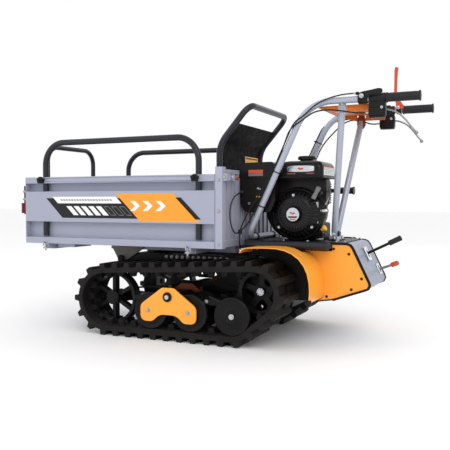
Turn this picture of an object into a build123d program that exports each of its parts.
from build123d import *
import math
import os

# Tracked power barrow (mini dumper).  Millimetres, +X forward to the dump bed, +Y left, +Z up.
# Everything is drawn about a machine datum; the shifts move it to the bottom centre of the bounding box.

# ------------------------------------------------------------------ driving dimensions
SHIFT_X = -16.25           # datum to bounding-box centre
SHIFT_Z = 0.332            # the lug corners reach this far below the datum on the lower bends
TRACK_Y = 260.0            # centre plane of each track
BELT_W = 180.0             # rubber belt width
PITCH, LINKS = 60.0, 34    # belt pitch and number of links
BELT_T, LUG_H = 20.0, 20.0  # belt carcass and lug height
LUG_PHASE = 40.3           # first lug along the belt from the rear roller
TEETH = 10                 # sprocket teeth
SPROCKET = (-252.0, 208.0)
ROLLER_R = 75.0            # belt face radius of every road roller
REAR_ROLLER = (-159.0, 115.0)
BOGIE = (113.0, 177.0)     # bogie pivot
BOGIE_ROLLERS = (203.0, 23.0)
IDLER_Z, IDLER_R = 150.0, 110.0
GAP = 0.5                  # free gap between turning faces
FIT = 0.05                 # radial running clearance in bearings

BED_X0, BED_X1 = -94.0, 830.0   # side panel length
BED_Z0, BED_Z1 = 375.0, 662.0   # side panel height
PANEL_Y0, PANEL_Y1 = 311.0, 345.0
FRONT_X0, FRONT_X1 = 832.0, 860.0
FRONT_HALF = 298.0
POST_X0, POST_X1 = -126.0, -96.0
HOOP_R = 12.5
HOOP_TOP = 822.0
HOOP_LEGS = (730.0, -18.0)
HOOP_Y = 328.0
FRONT_HOOP_X, FRONT_HOOP_Y = 846.0, 176.0
TIP_PIVOT = (456.0, 303.0)

DECK_Z = 400.0             # top of the engine deck
COVER_HALF = 151.0
CRANK = (-346.0, 506.0)    # crankshaft axis, along Y
BAR_R = 12.5               # handlebar tube
BAR_Z, BAR_Y = 936.0, 180.0
BAR_TOP, BAR_FOOT = (-410.0, 936.0), (-164.0, 413.0)   # corners of the bent tube
GRIP_X0, GRIP_X1 = -831.0, -708.0
RIGHT_SHIFT = 31.0         # right-hand lever set sits this much further forward
STRUT_R = 12.5             # struts between the deck and the bars


# ------------------------------------------------------------------ small helpers
def box(x0, x1, y0, y1, z0, z1):
    return Pos((x0 + x1) / 2, (y0 + y1) / 2, (z0 + z1) / 2) * Box(x1 - x0, y1 - y0, z1 - z0)


def rod_y(x, z, r, y0, y1):
    return Pos(x, (y0 + y1) / 2, z) * Rot(90, 0, 0) * Cylinder(r, y1 - y0)


def rod_x(y, z, r, x0, x1):
    return Pos((x0 + x1) / 2, y, z) * Rot(0, 90, 0) * Cylinder(r, x1 - x0)


def rod_z(x, y, r, z0, z1):
    return Pos(x, y, (z0 + z1) / 2) * Cylinder(r, z1 - z0)


def prism_y(points, y0, y1):
    wire = Polyline(*[(x, y0, z) for x, z in points], close=True)
    return extrude(make_face(wire), amount=y1 - y0, dir=(0, 1, 0))


def tube(points, r, bends=None, wall=0.0):
    path = FilletPolyline(*points, radius=bends) if bends else Polyline(*points)
    plane = Plane(path @ 0, z_dir=path % 0)
    body = sweep(plane * Circle(r), path=path)
    if wall:
        body -= sweep(plane * Circle(r - wall), path=path)
    return body


def bar(p, q, r):
    return tube([p, q], r)


def strip(points, t, y0, y1):
    """Sheet of thickness t that follows points in XZ; material lies on the right-hand side."""
    inner = []
    n = len(points)
    for i, (x, z) in enumerate(points):
        ax, az = points[max(i - 1, 0)]
        bx, bz = points[min(i + 1, n - 1)]
        d = math.hypot(bx - ax, bz - az)
        nx, nz = (bz - az) / d, -(bx - ax) / d
        k = 1.0
        if 0 < i < n - 1:
            ux, uz = x - ax, z - az
            u = math.hypot(ux, uz)
            k = 1.0 / max(0.5, (nx * uz - nz * ux) / u)
        inner.append((x + nx * t * k, z + nz * t * k))
    return prism_y(points + inner[::-1], y0, y1)


def both(shape):
    return shape + mirror(shape, about=Plane.XZ)


def right(shape):
    return mirror(shape, about=Plane.XZ)


PARTS = {}


def add(name, shape):
    PARTS[name] = shape


# ------------------------------------------------------------------ belt path
SPROCKET_R = TEETH * PITCH / (2 * math.pi)      # pitch radius on the sprocket


def loop(idler_x):
    """Pitch line of the belt: straight and curved pieces, anticlockwise from the rear roller."""
    half = BELT_T / 2
    wheels = [(REAR_ROLLER[0], REAR_ROLLER[1], ROLLER_R + half),
              (idler_x, IDLER_Z, IDLER_R + half),
              (SPROCKET[0], SPROCKET[1], SPROCKET_R)]
    runs = []
    for i, (x0, z0, r0) in enumerate(wheels):
        x1, z1, r1 = wheels[(i + 1) % 3]
        span = math.hypot(x1 - x0, z1 - z0)
        th = math.atan2(z1 - z0, x1 - x0) + math.asin((r0 - r1) / span)
        n = (math.sin(th), -math.cos(th))
        runs.append((th, (x0 + r0 * n[0], z0 + r0 * n[1]), (x1 + r1 * n[0], z1 + r1 * n[1])))
    pieces = []
    for i in range(3):
        th, a, b = runs[i]
        pieces.append(("line", a, b, th, math.dist(a, b)))
        cx, cz, r = wheels[(i + 1) % 3]
        turn = (runs[(i + 1) % 3][0] - th) % (2 * math.pi)
        pieces.append(("arc", (cx, cz), r, th, r * turn))
    return pieces


def solve_idler():
    lo, hi = 380.0, 460.0
    for _ in range(60):
        mid = (lo + hi) / 2
        if sum(p[4] for p in loop(mid)) > PITCH * LINKS:
            hi = mid
        else:
            lo = mid
    return lo


IDLER = (round(solve_idler(), 3), IDLER_Z)
LOOP = loop(IDLER[0])


def on_loop(s):
    s %= sum(p[4] for p in LOOP)
    for kind, a, b, th, length in LOOP:
        if s <= length:
            if kind == "line":
                return a[0] + s * math.cos(th), a[1] + s * math.sin(th), th
            t = th + s / b
            return a[0] + b * math.sin(t), a[1] - b * math.cos(t), t
        s -= length
    return on_loop(0.0)


def belt_outline(offset, y):
    edges = []
    for kind, a, b, th, length in LOOP:
        n = (math.sin(th), -math.cos(th))
        if kind == "line":
            edges.append(Line((a[0] + offset * n[0], y, a[1] + offset * n[1]),
                              (b[0] + offset * n[0], y, b[1] + offset * n[1])))
        else:
            r = b + offset
            ts = [th, th + length / b / 2, th + length / b]
            pts = [(a[0] + r * math.sin(t), y, a[1] - r * math.cos(t)) for t in ts]
            edges.append(ThreePointArc(*pts))
    return make_face(edges)


def on_belt(s, y, shape):
    """Place a shape on the belt: local X runs along it, local -Z points outwards."""
    x, z, th = on_loop(s)
    return Pos(x, y, z) * Rot(0, -math.degrees(th), 0) * shape


def track():
    y0 = TRACK_Y - BELT_W / 2
    ring = belt_outline(BELT_T / 2, y0) - belt_outline(-BELT_T / 2, y0)
    body = extrude(ring, amount=BELT_W, dir=(0, 1, 0))
    tip = -(BELT_T / 2 + LUG_H)
    lug = extrude(make_face(Polyline((-15, 0, -9), (15, 0, -9), (10, 0, tip), (-10, 0, tip), close=True)),
                  amount=BELT_W, dir=(0, 1, 0))
    guide = extrude(make_face(Polyline((-17, 0, 9), (17, 0, 9), (9, 0, 30), (-9, 0, 30), close=True)),
                    amount=18, dir=(0, 1, 0))
    window = Box(26, 30, BELT_T + 8)
    lugs, holes = [], []
    for k in range(LINKS):
        s = LUG_PHASE + k * PITCH
        lugs.append(on_belt(s, TRACK_Y - BELT_W / 2, lug))
        lugs.append(on_belt(s, TRACK_Y + 28, guide))
        lugs.append(on_belt(s, TRACK_Y - 46, guide))
        holes.append(on_belt(s + PITCH / 2, TRACK_Y, window))
    return body + lugs - holes


def idler():
    x, z = IDLER
    wheel = rod_y(x, z, IDLER_R - GAP, 238, 282) - rod_y(x, z, 97, 237, 283)
    for k in range(6):
        spoke = Pos(62, 0, 0) * Box(78, 30, 16)
        wheel += Pos(x, TRACK_Y, z) * Rot(0, -30 - 60 * k, 0) * spoke
    wheel += rod_y(x, z, 30, 220, 290)
    return wheel - rod_y(x, z, 12.5, 210, 300)


def tooth_angle():
    for k in range(LINKS):
        s = LUG_PHASE + (k + 0.5) * PITCH
        x, z, _ = on_loop(s)
        if abs(math.hypot(x - SPROCKET[0], z - SPROCKET[1]) - SPROCKET_R) < 0.01:
            return math.degrees(math.atan2(z - SPROCKET[1], x - SPROCKET[0]))
    return 0.0


def sprocket():
    x, z = SPROCKET
    rim = SPROCKET_R - BELT_T / 2 - GAP
    wheel = rod_y(x, z, rim, 238, 282) - rod_y(x, z, 71, 237, 283)
    for k in range(5):
        spoke = Pos(50, 0, 0) * Box(46, 14, 22)
        wheel += Pos(x, 245, z) * Rot(0, -(90 + 72 * k), 0) * spoke
    for k in range(TEETH):
        tooth = Pos(rim + 5, 0, 0) * Box(16, 22, 15)
        wheel += Pos(x, TRACK_Y, z) * Rot(0, -(tooth_angle() + 36 * k), 0) * tooth
    wheel += rod_y(x, z, 33, 206, 252) + rod_y(x, z, 16, 250, 262)
    return wheel + rod_y(x, z, 17.5, 60, 210)


def roller(x, z):
    body = rod_y(x, z, 20, 190, 330)
    for y in (190, 314):
        body += rod_y(x, z, ROLLER_R - GAP, y, y + 16)
    return body - rod_y(x, z, 10 + FIT, 180, 340)


def bogie():
    x, z = BOGIE
    outline = [(17, 36), (-17, 36), (-30, 30), (-118, -35), (-126, -52), (-126, -80), (-112, -102),
               (-78, -102), (-50, -80), (-20, -71), (20, -71), (50, -80), (78, -102), (112, -102),
               (126, -80), (126, -52), (118, -35), (30, 30)]
    body = None
    for y0 in (338, 176):
        plate = prism_y([(x + dx, z + dz) for dx, dz in outline], y0, y0 + 8)
        plate -= rod_y(x, z, 12.5, y0 - 1, y0 + 9)
        body = plate if body is None else body + plate
    for rx in BOGIE_ROLLERS:
        body += rod_y(rx, REAR_ROLLER[1], 10, 180, 342) + rod_y(rx, REAR_ROLLER[1], 14, 332, 338.5)
        body += rod_y(rx, REAR_ROLLER[1], 14, 183.5, 188) + rod_y(rx, REAR_ROLLER[1], 7, 345, 350)
    return body


# ------------------------------------------------------------------ chassis and drive
def chassis():
    rail = box(-545, 470, 95, 140, 285, 330)
    rail += prism_y([(469, 285), (482, 292), (482, 312), (469, 330)], 95, 140)
    half = rail + box(-133, -101, 95, 140, 168, 287) + box(312, 345, 95, 140, 150, 287)
    half += box(-133, -60, 95, 140, 150, 182) + box(-88, -60, 0, 214, 150, 182)
    half += box(300, 345, 0, 214, 130, 162)
    half += box(-540, -500, 0, 96, 290, 325) + box(400, 430, 0, 96, 292, 325)
    # track beam with its idler arm and axles
    x, z = BOGIE
    beam = prism_y([(-140, 150), (290, 150), (300, 148), (300, 168), (170, 190), (75, 194),
                    (55, 174), (-140, 172)], 212, 308)
    beam += prism_y([(240, 150), (300, 138), (IDLER[0], 124), (IDLER[0] + 24, 136), (IDLER[0] + 27, 152),
                     (IDLER[0] + 18, 170), (IDLER[0], 176), (300, 172)], 206, 218)
    beam += rod_y(*IDLER, 12.5 - FIT, 210, 292) + rod_y(*IDLER, 20, 290.5, 295)
    beam += rod_y(x, z, 12.5 - FIT, 170, 348) + rod_y(x, z, 17, 346.5, 350) + rod_y(x, z, 8, 349, 356)
    beam += rod_y(x, z, 17, 168, 175.5)
    beam += prism_y([(-60, 150), (-60, 182), (-105, 182), (-182, 128), (-182, 100), (-168, 92),
                     (-145, 92)], 160, 168)
    rx, rz = REAR_ROLLER
    beam += rod_y(rx, rz, 10, 162, 332) + rod_y(rx, rz, 16, 166, 186) + rod_y(rx, rz, 13, 330.5, 334)
    half += beam
    # rest pads for the bed and deck posts
    half += box(-80, -40, 98, 137, 329, 344.5)
    for px in (-530, -340, -180):
        half += box(px, px + 30, 98, 137, 329, 392)
    return both(half) + rod_y(*TIP_PIVOT, 12 - FIT, -158, 158)


def gearbox():
    x, z = SPROCKET
    body = box(x - 78, x + 60, -110, 110, 128, 283)
    body = fillet(body.edges().filter_by(Axis.Y), 12) + box(x - 60, x - 5, -40, 40, 282, 340)
    body += rod_y(x, z, 45, -118, 118) + both(rod_y(x, z, 30, 110, 160))
    body += box(x - 250, x - 70, -60, 40, 190, 262)
    return body - rod_y(x, z, 17.5 + FIT, -170, 170)


def deck():
    plate = box(-548, -136, -147.5, 147.5, DECK_Z - 8, DECK_Z)
    plate += both(box(-500, -165, 140, 206, 382, 392) + box(-500, -165, 140, 147.5, 382, 393))
    plate += both(rod_x(213, 389, 14, -499, -168) + Pos(-499, 213, 389) * Sphere(14))
    plate += box(-505, -455, -42, 42, DECK_Z - 1, DECK_Z + 6)
    fx, fz = BAR_FOOT
    for y in (-120, 80):
        plate += box(fx - 22, fx + 22, y, y + 40, DECK_Z - 1, 430) - rod_y(fx, fz, BAR_R + FIT, y - 1, y + 41)
    plate += box(-494, -462, -16.5, 16.5, DECK_Z + 5, DECK_Z + 34)
    return plate


FENDER_LINE = [(-198, 362), (-208, 375), (-226, 381), (-300, 383), (-344, 382), (-376, 376), (-405, 364),
               (-430, 346), (-449, 322), (-462, 294), (-469, 262), (-471, 232), (-469, 200), (-466, 188)]
COVER_LINE = [(-190, 366), (-503, 366), (-503, 391), (-556, 391), (-568, 388), (-577, 379), (-641, 249),
              (-643, 238), (-636, 228), (-503, 181), (-440, 171), (-345, 171), (-345, 300), (-190, 345)]


def fender():
    body = prism_y(COVER_LINE, COVER_HALF - 3, COVER_HALF)
    body += strip(FENDER_LINE, 3, COVER_HALF - 1, 345)
    return body - box(-502, -100, COVER_HALF - 1.5, 229, 364, 500)


def cover_skin():
    line = [(-548.5, 396), (-560, 396), (-575, 391), (-583, 381), (-646, 251), (-649, 240), (-643, 226),
            (-630, 220), (-505, 176), (-442, 166), (-350, 166)]
    skin = strip(line[::-1], 2.5, -147.5, 147.5)
    for y, x, z, w, h in ((-18, -603, 346, 96, 58), (-100, -628, 289, 74, 46)):
        plate = Pos(x + 2, y, z) * Rot(0, 26, 0) * Box(3, w, h)
        skin += plate
    skin -= Pos(-603, -6, 349) * Rot(0, 26, 0) * Box(40, 22, 38)
    skin -= Pos(-631, -96, 280) * Rot(0, 26, 0) * Box(40, 22, 36)
    return skin


def cover_trim():
    line = [(-500, 391.3), (-556, 391.3), (-568, 388.4), (-577.5, 379), (-641.4, 249), (-643.4, 238),
            (-636, 227.6), (-503, 180.7), (-440, 170.7)]
    trim = strip(line, 4.5, 148.2, 154)
    for x, z in ((-509, 375), (-568, 357), (-617, 265), (-578, 222), (-482, 190), (-455, 183)):
        trim += rod_y(x, z, 5, COVER_HALF + 0.05, COVER_HALF + 3)
    return both(trim)


def gear_lever():
    lever = tube([(-560, -6, 325), (-590, -6, 343), (-693, -6, 394)], 5.5, [25])
    lever += bar((-690, -6, 392.5), (-736, -6, 415.5), 10)
    return lever + rod_y(-560, 325, 14, -16, 4)


def range_lever():
    lever = tube([(-590, -96, 262), (-622, -96, 275), (-682, -96, 302)], 4.5, [25])
    lever += bar((-680, -96, 301), (-708, -96, 314.5), 10)
    return lever + rod_y(-590, 262, 12, -104, -88)


# ------------------------------------------------------------------ engine
def engine_block():
    x, z = CRANK
    body = box(x - 82, x + 82, -100, 78, DECK_Z, 470) + rod_y(x, z, 70, -100, 78)
    body += Pos(x + 25, -12, z + 60) * Rot(0, 25, 0) * Box(110, 120, 90)
    body += box(x - 60, x + 78, -112, 60, 600, 646)
    body += rod_y(x, z, 11, -130, -99) + box(x - 62, x + 62, -118, -99, 440, 560)
    body += Pos(x - 96, 60, 470) * Box(34, 40, 40) + box(x - 118, x - 50, 10, 60, 560, 620)
    body += rod_y(-205, 460, 24, 50, 126) + box(x + 78, -206, 50, 78, 452, 474)
    body += box(-278, -134, -110, 20, 560, 700)
    return body


def recoil_housing():
    x, z = CRANK
    body = rod_y(x - 6, z, 92, 80, 138) + box(x - 92, x + 78, 80, 120, 560, 646)
    body += box(x + 20, x + 84, 80, 118, 420, 600) + box(x - 98, x, 80, 118, 410, 600)
    body = body + rod_y(x, z, 84, 138, 152) + rod_y(x, z, 30, 152, 160)
    body -= Pos(-441, 150, 590) * Rot(90, 0, 0) * Cylinder(5, 200)
    for dx, dz in ((-4, 76), (58, -52), (-80, -50)):
        body += rod_y(x + dx, z + dz, 6, 137, 156)
    return body


def fuel_tank():
    body = box(-458, -292, -62, 142, 650, 718)
    body = fillet(body.edges().filter_by(Axis.Z), 16)
    body = fillet(body.edges().group_by(Axis.Z)[-1], 18)
    body += box(-464, -286, -68, 148, 650, 654)
    return body + rod_z(-371, 60, 26, 717, 724)


def fuel_cap():
    return rod_z(-371, 60, 35, 724.5, 740)


def air_box():
    body = prism_y([(-127, 690), (-135, 716), (-250, 720), (-262, 708), (-262, 560), (-248, 524), (-150, 524),
                    (-131, 548)], 50, 160)
    for x, z, r, h in ((-200, 592, 6, 6), (-204, 610, 4, 5), (-194, 570, 5, 6), (-158, 560, 5, 4)):
        body += rod_y(x, z, r, 159, 160 + h)
    return body


def recoil_grip():
    handle = Pos(-441, 164, 590) * Rot(0, -28, 0) * Box(20, 20, 48)
    handle = fillet(handle.edges(), 6)
    return handle + rod_y(-441, 590, 2.5, 92, 156)


# ------------------------------------------------------------------ handlebar
def handlebar():
    (tx, tz), (fx, fz) = BAR_TOP, BAR_FOOT
    pts = [(-829, BAR_Y, tz), (tx, BAR_Y, tz), (fx, BAR_Y, fz), (fx, -BAR_Y, fz), (tx, -BAR_Y, tz),
           (-829, -BAR_Y, tz)]
    return tube(pts, BAR_R, [150, 48, 48, 150], wall=2.5)


def strut():
    leg = bar((-540, 162, 893), (-477, 24, 436), STRUT_R)
    leg += box(-556, -528, 160, 166.5, 886, 946) + box(-488, -466, 17, 29, DECK_Z + 6.5, 440)
    return leg + rod_y(-478, 424, 6, 28, 38)


def console():
    flange = [(-640, 896), (-520, 896), (-440, 918), (-440, 920.5), (-640, 920.5)]
    body = box(-640, -440, -158, 158, 918, 920.5) + both(prism_y(flange, 158, 160))
    body += box(-642, -640, -160, 160, 900, 920.5)
    return body - both(box(-560, -524, 156, 162, 890, 925))


def grip():
    body = rod_x(BAR_Y, BAR_Z, 16.5, GRIP_X0, GRIP_X1) - rod_x(BAR_Y, BAR_Z, BAR_R + 0.01, GRIP_X0 + 2, -700)
    for x in (GRIP_X0, GRIP_X1 - 6):
        body += rod_x(BAR_Y, BAR_Z, 19, x, x + 6) - rod_x(BAR_Y, BAR_Z, BAR_R + 0.01, GRIP_X0 + 2, -700)
    return body


def boots():
    body = None
    for y, dx in ((BAR_Y, 0.0), (-BAR_Y, RIGHT_SHIFT)):
        one = box(-708 + dx, -646 + dx, y - 18, y + 18, 862, 951)
        one -= rod_x(y, BAR_Z, BAR_R + 0.02, -720 + dx, -630 + dx)
        one -= box(-709 + dx, -668 + dx, y - 8, y + 8, 878, 908)
        one += rod_y(-686 + dx, 894, 3 - FIT, y - 9, y + 9)
        body = one if body is None else body + one
    # throttle perch on the left bar, clutch lever bracket on the right bar
    perch = box(-642, -604, 164, 196, 916, 956) - rod_x(BAR_Y, BAR_Z, BAR_R + 0.02, -650, -600)
    perch += rod_y(-623, 944, 4, 195, 211)
    fork = box(-704, -684, -198, -165, 914, 954) - rod_x(-BAR_Y, BAR_Z, BAR_R + 0.02, -710, -680)
    fork += rod_y(-694, 944, 5, -166, -150)
    return body + perch + fork


def steer_lever():
    z = 893.0
    pts = [(-687, BAR_Y, z), (-726, BAR_Y, z - 2), (-762, BAR_Y, z - 22), (-792, BAR_Y, z - 56),
           (-817, BAR_Y, z - 88)]
    body = rod_y(-686, z + 1, 8, 173, 187)
    for here, there in zip(pts, pts[1:]):
        body += bar(here, there, 4)
    for joint in pts[1:-1]:
        body += Pos(*joint) * Sphere(4)
    return body + Pos(-819, BAR_Y, z - 90) * Sphere(6.5) - rod_y(-686, z + 1, 3, 170, 190)


def clutch_lever():
    pts = [(-684, 958), (-684, 936), (-716, 936), (-718, 950), (-706, 968), (-690, 972), (-686, 990),
           (-686, 1060), (-692, 1092), (-696, 1104), (-690, 1112), (-683, 1108), (-676, 1088), (-672, 1060),
           (-672, 980)]
    return prism_y(pts, -160, -154) - rod_y(-694, 944, 5 + FIT, -170, -140)


def throttle_lever():
    body = rod_y(-623, 944, 14, 200, 207) + prism_y([(-623, 936), (-623, 956), (-676, 962), (-690, 970),
                                                    (-697, 966), (-690, 954), (-672, 948)], 200, 207)
    return body - rod_y(-623, 944, 4 + FIT, 190, 215)


def beside_bar(t, off, dy, sy):
    """Point in front of the sloping handlebar leg; t runs from the top corner to the foot."""
    (ax, az), (bx, bz) = BAR_TOP, BAR_FOOT
    n = math.hypot(bx - ax, bz - az)
    ux, uz = (bx - ax) / n, (bz - az) / n
    return (ax + ux * t * n - uz * off, sy * (BAR_Y + dy), az + uz * t * n + ux * off)


def widest_bends(points):
    """Largest bend at each inner point: 0.45 of the shorter run over the tangent of half the turn."""
    radii = []
    for a, b, c in zip(points, points[1:], points[2:]):
        before, after = Vector(*b) - Vector(*a), Vector(*c) - Vector(*b)
        half_turn = math.radians(before.get_angle(after)) / 2
        radii.append(0.45 * min(before.length, after.length) / math.tan(half_turn))
    return radii


def cables():
    # throttle cable: down the left leg, a free loop beside the bed, into the carburettor
    thr = [(-602, 184, 957), (-545, 186, 962), (-492, 188, 960), (-442, 191, 949), (-398, 192, 922)]
    thr += [beside_bar(t, 17.0, d, 1) for t, d in ((0.14, 8), (0.26, 6), (0.39, 8), (0.52, 6), (0.65, 8),
                                                   (0.78, 9))]
    thr += [(-168, 197, 464), (-142, 200, 440), (-131, 226, 427), (-131, 264, 448), (-131, 288, 498),
            (-131, 275, 552), (-131, 226, 586), (-136, 166, 597)]
    # left steering cable: crosses to the front of the leg, then down through the deck edge
    ste = [(-645, 182, 884), (-590, 186, 879), (-540, 187, 884), (-485, 190, 888), (-435, 198, 884),
           (-388, 201, 858)]
    ste += [beside_bar(t, o, d, 1) for t, o, d in ((0.20, 27, 14), (0.31, 23, 0), (0.42, 18, -4),
                                                   (0.53, 19, -2), (0.63, 22, 6))]
    ste += [(-182, 202, 528), (-160, 213, 482), (-148, 221, 445), (-146, 226, 405), (-147, 222, 372),
            (-150, 196, 352), (-150, 148, 344)]
    # right steering cable follows the rear face of the right leg
    far = [(-614, -178, 884), (-585, -178, 880), (-545, -178, 896), (-505, -178, 906), (-465, -178, 896),
           (-428, -179, 866)]
    far += [beside_bar(t, -18.0, d, -1) for t, d in ((0.24, 0), (0.36, 3), (0.48, 0), (0.60, 3), (0.72, 0),
                                                     (0.85, 4))]
    far += [(-196, -185, 440), (-190, -187, 404)]
    body = None
    for pts in (thr, ste, far):
        one = tube(pts, 3.0, widest_bends(pts))
        body = one if body is None else body + one
    return body + rod_z(-147.5, 221, 8, 428, 446)


# ------------------------------------------------------------------ dump bed
def bed_floor():
    body = box(-94, 830, -310, 310, 398, 402) + box(-94, -90, -310, 310, 375, 400)
    body += box(826, 830, -310, 310, 375, 400)
    for y in (-310, 306):
        body += box(-94, 830, y, y + 4, 375, 400)
    for y in (-140, 95):
        body += box(-92, 520, y, y + 45, 345, 399)
    for x in (19.0, 715.0):
        body += box(x - 13, x + 13, -310, 310, 350, 376) + box(x - 13, x + 13, -310, 310, 375, 399)
        body -= box(x - 10, x + 10, -320, 320, 353, 373)
    for y in (-200, 200):
        body += box(560, 828, y - 11, y + 11, 376, 399)
        body -= box(540, 840, y - 8.5, y + 8.5, 379, 396)
    body += box(600, 690, 180, 300, 358, 376)
    lug = prism_y([(505, 376), (505, 350), (470, 290), (442, 290), (345, 350), (345, 376)], 144, 152)
    lug += box(345, 505, 139, 152, 356, 376)
    lug -= rod_y(*TIP_PIVOT, 12 + FIT, 140, 160)
    return body + both(lug)


def headboard():
    post = box(POST_X0, POST_X1, PANEL_Y0, PANEL_Y1, 375, 690) - box(-123, -90, 314, 342, 374, 660)
    body = both(post)
    for k in range(12):
        y = -300 + 50 * k
        body += box(-116, -113, y, y + 26, 402, 668) + box(-108, -105, y + 26, y + 50, 402, 668)
        body += box(-116, -105, y - 1.5, y + 1.5, 402, 668) + box(-116, -105, y + 24.5, y + 27.5, 402, 668)
    body += box(-118, -98, -312, 312, 666, 682) + box(-118, -98, -312, 312, 378, 404)
    body += both(box(-118, -98, 298, 312, 378, 682))
    for y in (262, 300):
        body += both(box(-142, -106, y, y + 6, 638, 662) - rod_y(-133, 650, 6.1, y - 1, y + 7))
    body += both(box(-142, -125, 311, 340, 636, 664) - rod_y(-133, 650, 6.1, 300, 350))
    return body - box(-160, -95.5, -400, 400, 300, 374.9)


def guard():
    y = 221.0
    pts = [(-57, y, 560), (-57, y, 785), (-187, y, 936), (-187, -y, 936), (-57, -y, 785), (-57, -y, 560)]
    body = tube(pts, 12.5, [120, 45, 45, 120], wall=2.5)
    sheet = strip([(-58, 600), (-58, 772), (-66, 790), (-132, 868)], 2.5, -209, 209)
    body += sheet
    for z in (600, 640):
        body += both(box(-104.9, -60, 212, 226, z, z + 20)) - both(rod_z(-57, y, 10, 500, 700))
    return body


def panel_section(depth0, depth1):
    """Outline pieces of the pressed panel: (inner depth, outer depth, z0, z1)."""
    d0, d1 = depth0, depth1
    return [(d0, d0 + 2.5, BED_Z0, BED_Z1), (d1 - 2.5, d1, 635, BED_Z1), (d0, d1, 635, 637.5),
            (d0, d1, BED_Z1 - 2.5, BED_Z1), (d1 - 2.5, d1, 470, 600), (d0, d1, 470, 472.5),
            (d0, d1, 597.5, 600), (d1 - 2.5, d1, BED_Z0, 402), (d0, d1, BED_Z0, BED_Z0 + 2.5),
            (d0, d1, 399.5, 402)]


def side_panel():
    body = None
    for y0, y1, z0, z1 in panel_section(PANEL_Y0, PANEL_Y1):
        piece = box(BED_X0, BED_X1, y0, y1, z0, z1)
        body = piece if body is None else body + piece
    for x in (BED_X0, BED_X1 - 2.5):
        body += box(x, x + 2.5, PANEL_Y0, PANEL_Y1, BED_Z0, BED_Z1)
    for x in HOOP_LEGS:
        body -= rod_z(x, HOOP_Y, HOOP_R + 0.35, 398, 700)
        body += rod_y(x, 648, 8, PANEL_Y1 - 1, PANEL_Y1 + 4)
        body -= rod_y(x, 648, 4 + FIT, 339, 355)
    for x in (19.0, 715.0):
        body += box(x - 9.5, x + 9.5, 25, 345, 353.5, 372.5) + box(x - 9.5, x + 9.5, 320, 345, 371, 377)
        body += box(x - 9.5, x + 9.5, 344, 358, 353.5, 360)
        body -= rod_z(x, 352, 3.6, 340, 380)
    for z in (566, 600):
        body += box(829, 852, 324, 336, z, z + 5) - rod_z(846, 330, 4.1, z - 1, z + 6)
    return body


def front_panel():
    body = None
    for x0, x1, z0, z1 in panel_section(FRONT_X0, FRONT_X1):
        piece = box(x0, x1, -FRONT_HALF, FRONT_HALF, z0, z1)
        body = piece if body is None else body + piece
    for y in (-FRONT_HALF, FRONT_HALF - 2.5):
        body += box(FRONT_X0, FRONT_X1, y, y + 2.5, BED_Z0, BED_Z1)
    for y in (-FRONT_HOOP_Y, FRONT_HOOP_Y):
        body -= rod_z(FRONT_HOOP_X, y, 11.35, 398, 700)
    for y in (-200, 200):
        body += box(590, 834, y - 8, y + 8, 379.5, 395.5)
    return body


def side_hoop():
    a, b = HOOP_LEGS
    pts = [(a, HOOP_Y, 408), (a, HOOP_Y, HOOP_TOP - HOOP_R), (b, HOOP_Y, HOOP_TOP - HOOP_R), (b, HOOP_Y, 408)]
    return tube(pts, HOOP_R, [95, 95], wall=2.0)


def front_hoop():
    y = FRONT_HOOP_Y
    pts = [(FRONT_HOOP_X, y, 408), (FRONT_HOOP_X, y, HOOP_TOP - 11), (FRONT_HOOP_X, -y, HOOP_TOP - 11),
           (FRONT_HOOP_X, -y, 408)]
    return tube(pts, 11.0, [70, 70], wall=2.0)


def knob(x):
    body = rod_y(x, 648, 13, 354, 372) + rod_y(x, 648, 8, 349.5, 355) + rod_y(x, 648, 4, 341, 378)
    for k in range(5):
        a = math.radians(72 * k + 90)
        body += rod_y(x + 11 * math.cos(a), 648 + 11 * math.sin(a), 4.5, 354, 372)
    return body


def pull_pin(x):
    body = tube([(x, 352, 345), (x, 352, 380), (x, 366, 380), (x, 366, 366)], 3.2, [5, 5])
    return body + rod_z(x, 352, 5.5, 360.3, 364)


def rear_latch():
    body = rod_y(-133, 650, 6, 240, 343) + rod_y(-133, 650, 9, 222, 244)
    return body + rod_y(-133, 650, 8.5, 290, 298.5)


def front_latch():
    body = rod_z(846, 330, 4, 500, 625) + rod_z(855, 330, 8.5, 505, 550)
    return body + box(842, 856, 326, 334, 512, 542)


def lift_handle():
    body = rod_x(-148, 603, 9, -470, -144) + box(-146, -116.1, -162, -134, 590, 616)
    body += rod_x(-148, 603, 14, -512, -446) + rod_x(-148, 603, 17, -516, -510)
    return body


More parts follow.
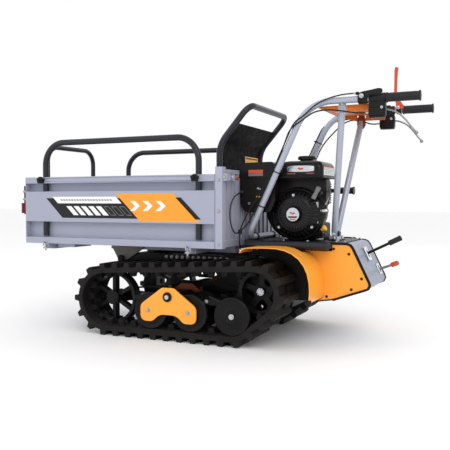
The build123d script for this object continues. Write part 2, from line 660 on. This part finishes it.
def build():
    add("chassis_frame", chassis())
    belt, idl, spr = track(), idler(), sprocket()
    bog, rear = bogie(), roller(*REAR_ROLLER)
    rollers = [roller(x, REAR_ROLLER[1]) for x in BOGIE_ROLLERS]
    for side, turn in (("left", lambda s: s), ("right", right)):
        add(side + "_track", turn(belt))
        add(side + "_idler", turn(idl))
        add(side + "_sprocket", turn(spr))
        add(side + "_bogie", turn(bog))
        add(side + "_bogie_roller_front", turn(rollers[0]))
        add(side + "_bogie_roller_rear", turn(rollers[1]))
        add(side + "_rear_roller", turn(rear))
        add(side + "_fender", turn(fender()))
        add(side + "_panel", turn(side_panel()))
        add(side + "_hoop", turn(side_hoop()))
        add(side + "_front_knob", turn(knob(HOOP_LEGS[0])))
        add(side + "_rear_knob", turn(knob(HOOP_LEGS[1])))
        add(side + "_front_pin", turn(pull_pin(715.0)))
        add(side + "_rear_pin", turn(pull_pin(19.0)))
        add(side + "_rear_latch", turn(rear_latch()))
        add(side + "_front_latch", turn(front_latch()))
    add("gearbox", gearbox())
    add("engine_deck", deck())
    add("cover_skin", cover_skin())
    add("cover_trim", cover_trim())
    add("gear_lever", gear_lever())
    add("range_lever", range_lever())
    add("engine_block", engine_block())
    add("recoil_housing", recoil_housing())
    add("recoil_grip", recoil_grip())
    add("fuel_tank", fuel_tank())
    add("fuel_cap", fuel_cap())
    add("air_box", air_box())
    add("handlebar_frame", handlebar() + both(strut()))
    add("console_panel", console())
    add("grips", both(grip()))
    add("lever_mounts", boots())
    add("left_steer_lever", steer_lever())
    add("right_steer_lever", Pos(RIGHT_SHIFT, 0, 0) * right(steer_lever()))
    add("clutch_lever", clutch_lever())
    add("throttle_lever", throttle_lever())
    add("cables", cables())
    add("bed_floor", bed_floor())
    add("bed_headboard", headboard())
    add("bed_guard", guard())
    add("lift_handle", lift_handle())
    add("front_panel", front_panel())
    add("front_hoop", front_hoop())


build()
os.makedirs("parts", exist_ok=True)
for name, shape in PARTS.items():
    export_step(Pos(SHIFT_X, 0, SHIFT_Z) * shape, "parts/" + name + ".step")
